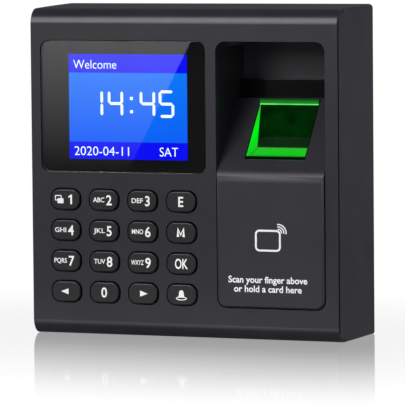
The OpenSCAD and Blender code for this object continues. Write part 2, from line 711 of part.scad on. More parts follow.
module socket_board() color([0.05, 0.3, 0.15]) difference() {
    flat(socket_front, socket_t) box2(-28, 9, 28, socket_top);
    socket_holes() rod_y(0, 0, 0, big, 1.2);
}
module socket_screws() color("silver") socket_holes() mirror([0, 1, 0])
    translate([0, -2 * face_y - 2 * socket_front, 0]) screw(socket_front, 5, 0.95, 1.9, 1.2);

module usb_socket() color("silver") {
    difference() {
        long_x(usb_x - usb_w / 2, usb_x + usb_w / 2) box2(usb_d, socket_z, usb_d + usb_t, socket_z + usb_l);
        long_x(usb_x - usb_w / 2 + 0.9, usb_x + usb_w / 2 - 0.9)
            box2(usb_d + 0.9, 0, usb_d + usb_t - 0.9, usb_l - 1);
    }
    long_x(usb_x - 5.6, usb_x + 5.6) box2(usb_d + 1.3, socket_z + 1, usb_d + 3.1, usb_l);
}

module power_socket() color([0.05, 0.05, 0.05]) translate([jack_x, face_y + jack_d, socket_z]) {
    axis_d = 5.5;
    difference() {
        translate([-jack_w / 2, 0, 0]) cube([jack_w, jack_t, jack_l]);
        translate([0, axis_d, -1]) cylinder(r = 3.1, h = 11);
    }
    translate([0, axis_d, 1]) cylinder(r = 1, h = 10);
}

module wiring_header() color([0.95, 0.95, 0.9]) {
    pins = 12;
    difference() {
        flat(socket_back, 5.6) box2(-16, cable_z - 3, 16, cable_z + 3);
        flat(socket_back + 1.6, 6) box2(-15.2, cable_z - 2.2, 15.2, cable_z + 2.2);
    }
    for (i = [0:pins - 1]) translate([(i - (pins - 1) / 2) * 2.5, 0, cable_z])
        flat(socket_back + 1.4, 3.4) box2(-0.32, -0.32, 0.32, 0.32);
}

module tamper_switch() color([0.05, 0.05, 0.05]) flat(socket_back, 1.9)
    box2(tamper_x - 3, tamper_z - 3, tamper_x + 3, tamper_z + 3);

module tamper_plunger() color([0.8, 0.1, 0.1]) {
    flange = floor_d - hair;
    rod_y(tamper_x, tamper_z, flange - 0.9, 0.9, plunger_r + 0.65);
    rod_y(tamper_x, tamper_z, flange - 0.1, body_d - plate_t - hair - flange + 0.1, plunger_r);
}

module speaker() color([0.5, 0.5, 0.52]) translate([speaker_x, 0, 0])
    difference() {
        long_x(-speaker_w / 2, speaker_w / 2)
            box2(speaker_d, wall_t, speaker_d + speaker_l, wall_t + speaker_t);
        long_x(-speaker_w / 2 + 2, speaker_w / 2 - 2)
            box2(speaker_d + 2, 0, speaker_d + speaker_l - 2, wall_t + 1);
    }
module speaker_cone() color([0.1, 0.1, 0.1]) translate([speaker_x, 0, 0])
    long_x(-speaker_w / 2 + 2.1, speaker_w / 2 - 2.1)
        box2(speaker_d + 2.1, wall_t + 0.6, speaker_d + speaker_l - 2.1, wall_t + 0.9);

module housing_screws() color("silver") post_places() screw(post_end + 2, 12, 1.2, 2.5, 1.8);

module wall_plate() color([0.72, 0.73, 0.75]) {
    d = body_d - plate_t;
    hook_d = floor_d - clear_t - 1.2;
    difference() {
        flat(d, plate_t) {
            round2(-plate_w / 2, plate_z0, plate_w / 2, plate_z0 + plate_h, 2);
            box2(-tab_w / 2, lock_tab_z, tab_w / 2, plate_z0 + 1);
        }
        for (x = [-1, 1], z = [-1, 1])
            rod_y(x * wall_pitch / 2, body_h / 2 + z * wall_pitch / 2, 0, big, wall_hole_d / 2);
        flat(0, big) box2(-cable_w / 2, cable_z - cable_h / 2, cable_w / 2, cable_z + cable_h / 2);
        // the hooks are cut out of the plate and bent forward
        for (x = [-hook_x, hook_x]) flat(0, big)
            box2(x - hook_w / 2 - 0.8, hook_z + plate_t, x + hook_w / 2 + 0.8, hook_z + 6);
    }
    for (x = [-hook_x, hook_x]) {
        flat(hook_d, body_d - hook_d) box2(x - hook_w / 2, hook_z, x + hook_w / 2, hook_z + plate_t);
        flat(hook_d, 1.2) box2(x - hook_w / 2, hook_z, x + hook_w / 2, hook_z + 5);
    }
    // bent tab that the lock screw holds
    difference() {
        flat(lock_d - 4, body_d - lock_d + 4) box2(-tab_w / 2, lock_tab_z, tab_w / 2, lock_tab_z + plate_t);
        translate([0, face_y + lock_d, 0]) cylinder(r = 1.5, h = 20);
    }
}

module lock_screw() color("silver") translate([0, face_y + lock_d, 0]) difference() {
    union() {
        translate([0, 0, 0.4]) cylinder(r = 2.7, h = 1.8);
        translate([0, 0, 0.5]) cylinder(r = 1.45, h = lock_tab_z + plate_t + 0.6);
    }
    cylinder(r = 1.1, h = 1.4, $fn = 6);
}

front_cover();
rear_housing();
window();
window_tape();
display_panel();
display_backlight();
display_frame();
display_flex();
for (i = [0 : len(KEYS) - 1]) key(i % 4, floor(i / 4));
keypad_mat();
mainboard();
mainboard_chips();
mainboard_capacitors();
mainboard_connectors();
mainboard_screws();
coin_cell();
cell_holder();
reader_insert();
insert_screws();
antenna_board();
antenna_coil();
sensor_prism();
sensor_hood();
sensor_housing();
sensor_screws();
sensor_led_board();
sensor_leds();
sensor_lens();
sensor_camera_board();
sensor_camera_chips();
sensor_ribbon();
socket_board();
socket_screws();
usb_socket();
power_socket();
wiring_header();
tamper_switch();
tamper_plunger();
speaker();
speaker_cone();
housing_screws();
wall_plate();
lock_screw();
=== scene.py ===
"""Looks of the fingerprint terminal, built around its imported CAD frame. All sizes are in metres."""

import json
import math

import bmesh
import bpy
from mathutils import Matrix, Vector

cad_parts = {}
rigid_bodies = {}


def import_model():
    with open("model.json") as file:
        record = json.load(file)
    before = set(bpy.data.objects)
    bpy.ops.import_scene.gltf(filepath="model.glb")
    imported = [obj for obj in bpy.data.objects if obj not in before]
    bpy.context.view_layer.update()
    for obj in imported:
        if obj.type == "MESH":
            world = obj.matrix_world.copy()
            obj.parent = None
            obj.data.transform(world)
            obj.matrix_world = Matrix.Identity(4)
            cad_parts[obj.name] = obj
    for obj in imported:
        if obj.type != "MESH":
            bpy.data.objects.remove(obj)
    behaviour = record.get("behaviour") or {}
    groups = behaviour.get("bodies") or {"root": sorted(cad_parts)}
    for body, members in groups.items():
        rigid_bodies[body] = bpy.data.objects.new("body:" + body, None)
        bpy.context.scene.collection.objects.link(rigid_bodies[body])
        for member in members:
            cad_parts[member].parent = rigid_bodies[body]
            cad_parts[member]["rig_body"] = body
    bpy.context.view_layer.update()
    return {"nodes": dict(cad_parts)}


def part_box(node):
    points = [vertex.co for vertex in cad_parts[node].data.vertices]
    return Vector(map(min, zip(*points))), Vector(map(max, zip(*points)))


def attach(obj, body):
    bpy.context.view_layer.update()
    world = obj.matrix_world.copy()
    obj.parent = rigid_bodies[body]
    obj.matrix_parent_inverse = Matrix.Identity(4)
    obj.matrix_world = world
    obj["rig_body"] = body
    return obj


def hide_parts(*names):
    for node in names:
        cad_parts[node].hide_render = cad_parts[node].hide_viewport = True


MM = 0.001
INK = 0.02 * MM       # thickness of a print
ROOM_LIGHT = 0.12     # light from all around the terminal
FLOOR_LIGHT = 0.50    # light that the floor throws back at it
FLOOR_SHINE = 0.07    # how bright the floor is in its polished faces
FLOOR_SEEN = 1.02     # how bright the floor is to the eye
SHINE_REACH = 0.195   # distance from the terminal at which the floor's polish ends
CAPITALS = 0.69       # height of the font's capitals, as a part of its size
DRAWN_HALF = 57.5 * MM    # half the terminal's width, as the card sign is placed for

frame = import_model()


# ---------------------------------------------------------------- places read from the frame

class Place:
    """A CAD node's box, with short names for its sides."""

    def __init__(self, node):
        low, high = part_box(node)
        self.left, self.front, self.bottom = low
        self.right, self.back, self.top = high
        self.centre = (low + high) / 2


cover = Place("front_cover")
panel = Place("display_panel")
insert = Place("reader_insert")
prism = Place("sensor_prism")


# ---------------------------------------------------------------- small makers for materials

def main_shader(mat):
    """A material's Principled shader."""
    return next(n for n in mat.node_tree.nodes if n.type == "BSDF_PRINCIPLED")


def material(name):
    """A new node material: its tree, its Principled shader and its Object coordinates."""
    mat = bpy.data.materials.new(name)
    mat.use_nodes = True
    tree = mat.node_tree
    coords = tree.nodes.new("ShaderNodeTexCoord").outputs["Object"]
    return mat, tree, main_shader(mat), coords


def noise(tree, coords, grain, detail=3.0):
    """Noise whose blobs are about grain metres wide."""
    node = tree.nodes.new("ShaderNodeTexNoise")
    node.inputs["Scale"].default_value = 1.0 / grain
    node.inputs["Detail"].default_value = detail
    tree.links.new(coords, node.inputs["Vector"])
    return node.outputs["Fac"]


def remap(tree, value, low, high, to_low=0.0, to_high=1.0):
    """Maps a value from the stretch low to high to the stretch to_low to to_high."""
    node = tree.nodes.new("ShaderNodeMapRange")
    for socket, number in (("From Min", low), ("From Max", high), ("To Min", to_low), ("To Max", to_high)):
        node.inputs[socket].default_value = number
    tree.links.new(value, node.inputs["Value"])
    return node.outputs["Result"]


def spread(tree, value, low, high):
    """Maps a noise value to the stretch from low to high."""
    return remap(tree, value, 0.3, 0.7, low, high)


def tint(tree, value, dark, light):
    """A colour between dark and light that follows value."""
    node = tree.nodes.new("ShaderNodeValToRGB")
    node.color_ramp.elements[0].color = (*dark, 1)
    node.color_ramp.elements[1].color = (*light, 1)
    node.color_ramp.elements[0].position = 0.3
    node.color_ramp.elements[1].position = 0.7
    tree.links.new(value, node.inputs["Fac"])
    return node.outputs["Color"]


def bump(tree, shader, height, depth, strength):
    """Raises the surface by height times depth metres."""
    node = tree.nodes.new("ShaderNodeBump")
    node.inputs["Distance"].default_value = depth
    node.inputs["Strength"].default_value = strength
    tree.links.new(height, node.inputs["Height"])
    tree.links.new(node.outputs["Normal"], shader.inputs["Normal"])


def moulded(name, colour, roughness, grain, depth, gloss=0.5):
    """Moulded plastic with an eroded tool texture and faint flow marks."""
    mat, tree, shader, coords = material(name)
    dark = [c * 0.9 for c in colour]
    light = [c * 1.12 for c in colour]
    tree.links.new(tint(tree, noise(tree, coords, 12 * MM), dark, light), shader.inputs["Base Color"])
    tree.links.new(spread(tree, noise(tree, coords, 1.6 * MM), roughness - 0.010, roughness + 0.014),
                   shader.inputs["Roughness"])
    bump(tree, shader, noise(tree, coords, grain, 2.0), depth, 0.4)
    shader.inputs["Specular IOR Level"].default_value = gloss
    return mat


def metal(name, colour, roughness, scratch=(1, 30, 1)):
    """Sheet or turned metal with fine drawn lines."""
    mat, tree, shader, coords = material(name)
    mapping = tree.nodes.new("ShaderNodeMapping")
    mapping.inputs["Scale"].default_value = scratch
    tree.links.new(coords, mapping.inputs["Vector"])
    lines = noise(tree, mapping.outputs["Vector"], 2 * MM, 4.0)
    tree.links.new(tint(tree, lines, [c * 0.8 for c in colour], colour), shader.inputs["Base Color"])
    tree.links.new(spread(tree, lines, roughness - 0.07, roughness + 0.1), shader.inputs["Roughness"])
    shader.inputs["Metallic"].default_value = 1.0
    return mat


def light_up(tree, shader, colour, strength):
    """Makes a shader glow in the given colour and reflect nothing."""
    shader.inputs["Base Color"].default_value = (0, 0, 0, 1)
    shader.inputs["Specular IOR Level"].default_value = 0.0
    tree.links.new(colour, shader.inputs["Emission Color"])
    shader.inputs["Emission Strength"].default_value = strength


def glowing(name, dark, light, grain, strength=1.0):
    """A lit surface whose brightness wanders a little."""
    mat, tree, shader, coords = material(name)
    light_up(tree, shader, tint(tree, noise(tree, coords, grain, 1.0), dark, light), strength)
    return mat


def ramp_glow(name, axis, low, high, stops):
    """A lit surface that changes colour along one axis, from low to high."""
    mat, tree, shader, coords = material(name)
    split = tree.nodes.new("ShaderNodeSeparateXYZ")
    tree.links.new(coords, split.inputs["Vector"])
    along = remap(tree, split.outputs[axis], low, high)
    ramp = tree.nodes.new("ShaderNodeValToRGB")
    for i, (place, colour) in enumerate(stops):
        stop = ramp.color_ramp.elements[i] if i < 2 else ramp.color_ramp.elements.new(place)
        stop.position = place
        stop.color = (*colour, 1)
    tree.links.new(along, ramp.inputs["Fac"])
    light_up(tree, shader, ramp.outputs["Color"], 1.0)
    return mat


def clear_glass(name, dark, light, ior):
    """A polished clear solid that bends the light; its tint wanders between dark and light."""
    mat, tree, shader, coords = material(name)
    smudge = noise(tree, coords, 9 * MM, 4.0)
    tree.links.new(tint(tree, smudge, dark, light), shader.inputs["Base Color"])
    shader.inputs["Roughness"].default_value = 0.0
    shader.inputs["Transmission Weight"].default_value = 1.0
    shader.inputs["IOR"].default_value = ior
    return mat


def lift(mat, strength):
    """Lets a finish glow white a little, because print that is only lit comes out grey."""
    shader = main_shader(mat)
    shader.inputs["Emission Color"].default_value = (1.0, 1.0, 1.0, 1)
    shader.inputs["Emission Strength"].default_value = strength


# ---------------------------------------------------------------- finishes of this object

charcoal = moulded("charcoal_case", (0.025, 0.0235, 0.031), 0.31, 0.40 * MM, 0.004 * MM)
bay_black = moulded("bay_plastic", (0.027, 0.0255, 0.033), 0.39, 0.40 * MM, 0.004 * MM, 0.45)
key_black = moulded("key_plastic", (0.014, 0.014, 0.016), 0.34, 0.3 * MM, 0.006 * MM)
hood_black = moulded("hood_gloss", (0.003, 0.003, 0.003), 0.15, 0.5 * MM, 0.001 * MM, 0.3)
black_nylon = moulded("black_nylon", (0.014, 0.014, 0.015), 0.45, 0.2 * MM, 0.01 * MM)
black_print = moulded("black_print", (0.002, 0.002, 0.0025), 0.5, 0.3 * MM, 0.002 * MM, 0.05)
white_print = moulded("white_print", (0.86, 0.86, 0.88), 0.5, 0.15 * MM, 0.003 * MM)
lift(white_print, 0.20)
white_nylon = moulded("white_nylon", (0.72, 0.71, 0.66), 0.4, 0.25 * MM, 0.008 * MM)
red_nylon = moulded("red_nylon", (0.45, 0.03, 0.03), 0.4, 0.25 * MM, 0.008 * MM)
dark_rubber = moulded("dark_silicone", (0.010, 0.010, 0.011), 0.65, 0.3 * MM, 0.01 * MM)
green_board = moulded("solder_mask", (0.01, 0.11, 0.045), 0.3, 0.8 * MM, 0.01 * MM)
amber_print = moulded("amber_flex", (0.5, 0.24, 0.05), 0.35, 0.6 * MM, 0.004 * MM)
plated_steel = metal("plated_steel", (0.62, 0.63, 0.65), 0.28)
zinc_sheet = metal("zinc_sheet", (0.50, 0.51, 0.53), 0.38, (1, 1, 26))
bare_can = metal("bare_can", (0.70, 0.71, 0.73), 0.25)
copper_track = metal("copper_track", (0.72, 0.36, 0.20), 0.35)

window_clear = clear_glass("window_clear", (0.96, 0.96, 0.97), (1.0, 1.0, 1.0), 1.45)
prism_clear = clear_glass("prism_clear", (0.93, 0.98, 0.93), (0.98, 1.0, 0.98), 1.5)
lamp_green = glowing("lamp_green", (0.05, 0.8, 0.1), (0.1, 1.0, 0.2), 2 * MM, 2.0)


# ---------------------------------------------------------------- small makers for pieces

def add_piece(name, bm, mats, body="terminal"):
    """Turns a bmesh into a piece that rides on a body."""
    mesh = bpy.data.meshes.new(name)
    bm.to_mesh(mesh)
    bm.free()
    for mat in mats if isinstance(mats, (list, tuple)) else [mats]:
        mesh.materials.append(mat)
    piece = bpy.data.objects.new(name, mesh)
    bpy.context.scene.collection.objects.link(piece)
    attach(piece, body)
    return piece


def smooth(piece):
    """Smooth shading with flat faces kept flat."""
    mesh = piece.data
    mesh.shade_smooth()
    mesh.set_sharp_from_angle(angle=math.radians(38))
    weights = piece.modifiers.new("flat faces stay flat", "WEIGHTED_NORMAL")
    weights.keep_sharp = True
    weights.weight = 100


def merged_copy(node):
    """A bmesh of a CAD node with its triangles merged into clean faces."""
    bm = bmesh.new()
    bm.from_mesh(frame["nodes"][node].data)
    bmesh.ops.remove_doubles(bm, verts=bm.verts, dist=0.0005 * MM)
    bmesh.ops.dissolve_limit(bm, angle_limit=math.radians(0.6), verts=bm.verts, edges=bm.edges)
    return bm


def softened(node, mats, width, pick=lambda edge: True):
    """A CAD node with its sharp edges rounded: pick chooses the edges."""
    bm = merged_copy(node)
    sharp = math.radians(30)
    edges = [e for e in bm.edges
             if len(e.link_faces) == 2 and e.calc_face_angle(0) > sharp and pick(e)]
    bmesh.ops.bevel(bm, geom=edges, offset=width, offset_type="OFFSET", affect="EDGES", segments=3,
                    profile=0.5, material=-1, clamp_overlap=True)
    bmesh.ops.remove_doubles(bm, verts=bm.verts, dist=0.002 * MM)
    bmesh.ops.dissolve_degenerate(bm, edges=bm.edges, dist=0.002 * MM)
    piece = add_piece(node + "_finish", bm, mats, frame["nodes"][node]["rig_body"])
    smooth(piece)
    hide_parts(node)
    return piece


def slab(name, left, right, bottom, top, front, back, mat):
    """A thin flat piece that faces the user."""
    bm = bmesh.new()
    bmesh.ops.create_cube(bm, size=1.0)
    bmesh.ops.scale(bm, verts=bm.verts, vec=(right - left, back - front, top - bottom))
    middle = Vector(((left + right) / 2, (front + back) / 2, (bottom + top) / 2))
    bmesh.ops.translate(bm, verts=bm.verts, vec=middle)
    add_piece(name, bm, mat)


def traced(name, curve):
    """The mesh of a curve."""
    holder = bpy.data.objects.new(name + "_curve", curve)
    bpy.context.scene.collection.objects.link(holder)
    bpy.context.view_layer.update()
    mesh = bpy.data.meshes.new_from_object(holder.evaluated_get(bpy.context.evaluated_depsgraph_get()))
    bpy.data.objects.remove(holder)
    mesh.name = name
    return mesh


def print_on(name, mesh, x, front, z, scale, mat, body):
    """Stands a flat mesh upright on a face, as print that rides on a body."""
    mesh.transform(Matrix.Translation((x, front - INK / 2, z)) @ Matrix.Rotation(math.radians(90), 4, "X")
                   @ Matrix.Diagonal((*scale, 1)))
    mesh.materials.clear()
    mesh.materials.append(mat)
    piece = bpy.data.objects.new(name, mesh)
    bpy.context.scene.collection.objects.link(piece)
    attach(piece, body)


def lettering(name, words, size, x, z, front, mat, body="terminal", align="CENTER", bold=0.0,
              stretch=1.0, fit=0.0):
    """Printed words that face the user; size is the height of the capitals, fit their whole width."""
    curve = bpy.data.curves.new(name, "FONT")
    curve.body = words
    curve.size = size / CAPITALS
    curve.offset = bold * size
    curve.extrude = INK / 2
    curve.align_x = align
    curve.resolution_u = 4
    mesh = traced(name, curve)
    if fit:
        across = [vert.co.x for vert in mesh.vertices]
        stretch = fit / (max(across) - min(across))
    print_on(name, mesh, x, front, z, (stretch, 1, 1), mat, body)


def outline(name, points, width, front, mat, body="terminal", closed=False):
    """A printed line of even width through points in X and Z."""
    curve = bpy.data.curves.new(name, "CURVE")
    curve.dimensions = "3D"
    spline = curve.splines.new("POLY")
    spline.points.add(len(points) - 1)
    for point, (x, z) in zip(spline.points, points):
        point.co = (x, z, 0, 1)
    spline.use_cyclic_u = closed
    curve.bevel_depth = width / 2
    curve.bevel_resolution = 2
    curve.use_fill_caps = True
    print_on(name, traced(name, curve), 0, front, 0, (1, 1, INK / width), mat, body)


def flat_print(name, points, front, mat, body):
    """A printed patch with the outline given in X and Z."""
    bm = bmesh.new()
    patch = bm.faces.new([bm.verts.new((x, front - INK, z)) for x, z in points])
    made = bmesh.ops.extrude_face_region(bm, geom=[patch])["geom"]
    bmesh.ops.translate(bm, verts=[part for part in made if isinstance(part, bmesh.types.BMVert)],
                        vec=(0, INK, 0))
    bmesh.ops.recalc_face_normals(bm, faces=bm.faces)
    add_piece(name, bm, mat, body)


def arc(x, z, radius, start, end, steps=12):
    """Points along an arc, angles in degrees from +X towards +Z."""
    return [(x + radius * math.cos(math.radians(start + (end - start) * i / steps)),
             z + radius * math.sin(math.radians(start + (end - start) * i / steps)))
            for i in range(steps + 1)]


def round_box(left, right, bottom, top, corner):
    """Points of a rectangle with round corners."""
    return (arc(right - corner, top - corner, corner, 0, 90, 6)
            + arc(left + corner, top - corner, corner, 90, 180, 6)
            + arc(left + corner, bottom + corner, corner, 180, 270, 6)
            + arc(right - corner, bottom + corner, corner, 270, 360, 6))


# ---------------------------------------------------------------- camera

def make_camera():
    """The viewer stands to the right of the terminal and a little above it."""
    distance = 1.424
    turn, tilt, roll = math.radians(21.97), math.radians(4.38), math.radians(-0.50)
    aim = Vector((7.42 * MM, cover.front, 47.85 * MM))
    ahead = Vector((-math.sin(turn) * math.cos(tilt), math.cos(turn) * math.cos(tilt), -math.sin(tilt)))
    camera = bpy.data.objects.new("camera", bpy.data.cameras.new("camera"))
    bpy.context.scene.collection.objects.link(camera)
    camera.data.sensor_width = 36.0
    camera.data.lens = 363.5
    camera.data.clip_start, camera.data.clip_end = 0.05, 60.0
    camera.location = aim - ahead * distance
    camera.rotation_euler = (ahead.to_track_quat("-Z", "Y").to_matrix()
                             @ Matrix.Rotation(roll, 3, "Z")).to_euler()
    bpy.context.scene.camera = camera


# ---------------------------------------------------------------- case

def make_case():
    """Cover, housing, window, finger bay and hood in the CAD's shape.

    Housing, window and hood get rounded edges. On the cover and the bay the bevel limits itself to
    their closest points, so their edges stay about as sharp as in the CAD.
    """
    face = cover.front + 0.01 * MM

    def on_face(edge):
        return all(v.co.y < face for v in edge.verts)

    softened("front_cover", charcoal, 0.25 * MM, on_face)

    seam = Place("rear_housing")

    def outer_edge(edge):
        return all(abs(v.co.x) > cover.right - 0.4 * MM or v.co.y > seam.back - 0.01 * MM
                   for v in edge.verts)

    softened("rear_housing", charcoal, 0.2 * MM, outer_edge)
    pane = softened("window", window_clear, 0.15 * MM)
    behind = Place("window").back - 0.05 * MM
    for vert in pane.data.vertices:
        if vert.co.y > behind:
            vert.co.y -= 0.03 * MM    # off the tape, so that the two don't share a plane
    softened("sensor_hood", hood_black, 0.25 * MM)

    def bay_edge(edge):
        return all(v.co.y > insert.front + 0.5 * MM for v in edge.verts) and all(
            v.co.z > prism.bottom - 3 * MM for v in edge.verts)

    softened("reader_insert", bay_black, 0.2 * MM, bay_edge)


# ---------------------------------------------------------------- prism

def make_prism():
    """The finger prism: a clear sloping face over walls painted with the green glow of the lamps below."""
    bm = merged_copy("sensor_prism")
    ledge = prism.top - 2.0 * MM
    # painted light: the prism's walls glow green as the lamps' light through the glass would make them,
    # brighter in the middle of the side and the floor, faint on the far side and the back, and fading up
    # the tip
    side = ramp_glow("prism_side", "Z", prism.bottom, ledge,
                     [(0.0, (0.0, 0.62, 0.01)), (1.0, (0.02, 0.45, 0.03)), (0.45, (0.0, 0.95, 0.01))])
    far_side = glowing("prism_far_side", (0.0, 0.012, 0.001), (0.001, 0.03, 0.002), 5 * MM)
    floor = ramp_glow("prism_floor", "Y", prism.front, prism.back,
                      [(0.0, (0.01, 0.50, 0.02)), (1.0, (0.03, 0.50, 0.035)), (0.5, (0.001, 0.62, 0.004))])
    back = glowing("prism_back", (0.0, 0.012, 0.0005), (0.0005, 0.026, 0.002), 5 * MM)
    tip = ramp_glow("prism_tip", "Z", ledge, prism.top,
                    [(0.0, (0.02, 0.33, 0.03)), (1.0, (0.005, 0.05, 0.01))])
    for face in bm.faces:
        n = face.normal
        if n.x < -0.9:
            face.material_index = 1
        elif n.x > 0.9:
            face.material_index = 2
        elif n.z < -0.5 or (n.y < -0.9 and face.calc_center_median().z < prism.centre.z):
            face.material_index = 3
        elif n.y > 0.9:
            face.material_index = 4
        elif n.y < -0.9 or n.z > 0.9:
            face.material_index = 5
    piece = add_piece("finger_prism", bm, [prism_clear, side, far_side, floor, back, tip])
    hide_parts("sensor_prism")
    # painted highlight: a glowing strip along the prism's ledge
    glint = glowing("prism_glint", (0.08, 0.80, 0.10), (0.16, 1.0, 0.20), 6 * MM)
    slab("prism_glint", prism.left + 0.1 * MM, prism.right - 0.1 * MM, ledge - 0.05 * MM, ledge + 0.35 * MM,
         prism.back - 1.35 * MM, prism.back - 1.1 * MM, glint)
    # black strips around the clear face, let into the ramp, are painted shade for the dark gap around it;
    # the lower strip also lies over the glass, whose lower edge is about 0.85 mm lower in the CAD than on
    # the real thing
    low = Vector((0, prism.front, prism.bottom + 0.3 * MM))
    high = Vector((0, prism.back - 1.16 * MM, prism.top - 2.0 * MM))
    along = (high - low).normalized()
    turn = Matrix.Rotation(math.atan2(along.z, along.y), 3, "X")
    rim, hidden, proud = 0.45 * MM, 0.7 * MM, 0.06 * MM
    length = (high - low).length
    for name, x0, x1, s0, s1 in (
            ("shade_strip_left", prism.left - rim, prism.left + 0.05 * MM, -rim, length),
            ("shade_strip_right", prism.right - 0.05 * MM, prism.right + rim, -rim, length),
            ("shade_strip_low", prism.left - rim, prism.right + rim, -rim, hidden)):
        strip = bmesh.new()
        bmesh.ops.create_cube(strip, size=1.0)
        bmesh.ops.scale(strip, verts=strip.verts, vec=(x1 - x0, s1 - s0, 2 * proud))
        bmesh.ops.bevel(strip, geom=strip.edges[:], offset=0.02 * MM, offset_type="OFFSET", affect="EDGES",
                        segments=2, profile=0.5, material=-1)
        bmesh.ops.rotate(strip, verts=strip.verts, matrix=turn)
        middle = low + along * (s0 + s1) / 2
        bmesh.ops.translate(strip, verts=strip.verts, vec=((x0 + x1) / 2, middle.y, middle.z))
        add_piece("prism_" + name, strip, black_print)


# ---------------------------------------------------------------- display

def segment_bar(bm, length, width, depth, upright):
    """One stroke of a digit, pointed at both ends."""
    made = bmesh.ops.create_cube(bm, size=1.0)["verts"]
    bmesh.ops.scale(bm, verts=made, vec=(width if upright else length, depth, length if upright else width))
    edges = {e for v in made for e in v.link_edges
             if abs((e.verts[0].co - e.verts[1].co).normalized().y) > 0.9}
    bmesh.ops.bevel(bm, geom=list(edges), offset=width * 0.48, offset_type="OFFSET", affect="EDGES",
                    segments=1, profile=0.5, material=-1)


# a is the top stroke, b and f the upper sides, g the middle, c the lower right side, d the foot
STROKES = {"1": "bc", "4": "fgbc", "5": "afgcd"}


def make_digit(name, digit, left, bottom, width, height, front, mat):
    """A seven-stroke digit."""
    stroke = height * 0.105
    half = height / 2 - stroke / 2
    long_x = width - stroke * 1.15
    long_z = half - stroke * 0.15
    places = {"a": (width / 2, height - stroke / 2, False), "g": (width / 2, height / 2, False),
              "d": (width / 2, stroke / 2, False), "f": (stroke / 2, height * 0.75 - stroke / 4, True),
              "b": (width - stroke / 2, height * 0.75 - stroke / 4, True),
              "c": (width - stroke / 2, height * 0.25 + stroke / 4, True)}
    for letter in STROKES[digit]:
        x, z, upright = places[letter]
        bm = bmesh.new()
        segment_bar(bm, long_z if upright else long_x, stroke, INK, upright)
        bmesh.ops.translate(bm, verts=bm.verts, vec=(left + x, front, bottom + z))
        add_piece(f"{name}_{letter}", bm, mat)


def make_display():
    """The lit picture: title bar, clock, date bar and their words."""
    left = panel.left + 1.5 * MM
    right = panel.right - 4.0 * MM
    bottom = panel.bottom + 1.5 * MM
    top = panel.top - 1.5 * MM
    wide, high = right - left, top - bottom
    front = panel.front - 0.05 * MM
    title = top - 0.178 * high
    date = bottom + 0.166 * high
    sky = ramp_glow("screen_sky", "Z", date, title, [(0.0, (0.0, 0.125, 1.0)), (1.0, (0.0, 0.20, 1.0))])
    bar_blue = glowing("screen_bar", (0.0, 0.0, 0.92), (0.0, 0.002, 1.0), 20 * MM)
    words = glowing("screen_words", (0.76, 0.98, 1.0), (0.90, 1.0, 1.0), 4 * MM, 1.25)
    slab("screen_middle", left, right, date, title, front, front + INK, sky)
    slab("screen_title", left, right, title, top, front, front + INK, bar_blue)
    slab("screen_date", left, right, bottom, date, front, front + INK, bar_blue)
    cap = 0.085 * high
    ink = front - INK
    lettering("word_greeting", "Welcome", cap, left + 0.038 * wide, title + 0.038 * high, ink, words,
              align="LEFT", bold=-0.01, stretch=0.92)
    lettering("word_date", "2020-04-11", cap, left + 0.038 * wide, bottom + 0.036 * high, ink, words,
              align="LEFT", bold=-0.01, stretch=1.04)
    lettering("word_day", "SAT", cap, left + 0.76 * wide, bottom + 0.036 * high, ink, words,
              align="LEFT", bold=-0.01, stretch=0.92)
    digit_low, digit_high = top - 0.598 * high, top - 0.338 * high
    tall = digit_high - digit_low
    clock = (("1", 0.16, 0.29), ("4", 0.33, 0.46), ("4", 0.60, 0.73), ("5", 0.76, 0.89))
    for i, (digit, start, end) in enumerate(clock):
        make_digit(f"clock_{i}", digit, left + start * wide, digit_low, (end - start) * wide, tall, ink,
                   words)
    dot = 0.029 * high
    for i, level in enumerate((0.15, 0.635)):
        x = left + 0.53 * wide
        z = digit_low + level * tall
        slab(f"clock_dot_{i}", x - dot / 2, x + dot / 2, z, z + dot, ink, ink + INK, words)


# ---------------------------------------------------------------- keys

LEGENDS = {"key_1": ("", "1"), "key_2": ("ABC", "2"), "key_3": ("DEF", "3"), "key_exit": ("", "E"),
           "key_4": ("GHI", "4"), "key_5": ("JKL", "5"), "key_6": ("MNO", "6"), "key_menu": ("", "M"),
           "key_7": ("PQRS", "7"), "key_8": ("TUV", "8"), "key_9": ("WXYZ", "9"), "key_ok": ("", "OK"),
           "key_0": ("", "0")}


def make_one(key, x, z, height, front):
    """The digit one: an upright stroke with a flag."""
    stroke = height * 0.19
    low, top = z - height / 2, z + height / 2
    points = [(x - stroke * 0.2, low), (x + stroke * 0.8, low),
              (x + stroke * 0.8, top), (x + stroke * 0.05, top),
              (x - stroke * 1.35, top - height * 0.19), (x - stroke * 1.35, top - height * 0.36),
              (x - stroke * 0.2, top - height * 0.22)]
    flat_print(key + "_print", points, front, white_print, key)


def make_key_print(key, small, big):
    """The letters and the digit printed on a key."""
    place = Place(key)
    x, z = place.centre.x, place.centre.z
    digit = 3.4 * MM
    letter = 1.62 * MM
    shift = 2.18 * MM if small or key == "key_1" else 0.0
    narrow = {"OK": 0.66, "E": 0.88}.get(big, 0.92)
    if big == "1":
        make_one(key, x + shift, z, digit, place.front)
    elif big == "M":
        half, low, top = 1.05 * MM, z - digit / 2 + 0.25 * MM, z + digit / 2 - 0.25 * MM
        corners = [(x - half, low), (x - half, top), (x, low + 0.7 * MM), (x + half, top), (x + half, low)]
        outline(key + "_print", corners, 1.0 * MM, place.front, white_print, key)
    else:
        lettering(key + "_print", big, digit, x + shift, z - digit / 2, place.front, white_print, key,
                  bold=0.026, stretch=narrow)
    if small:
        lettering(key + "_letters", small, letter, x + 0.50 * MM, z - letter * 0.45, place.front,
                  white_print, key, align="RIGHT", bold=0.02, fit=4.8 * MM if len(small) > 3 else 4.3 * MM)


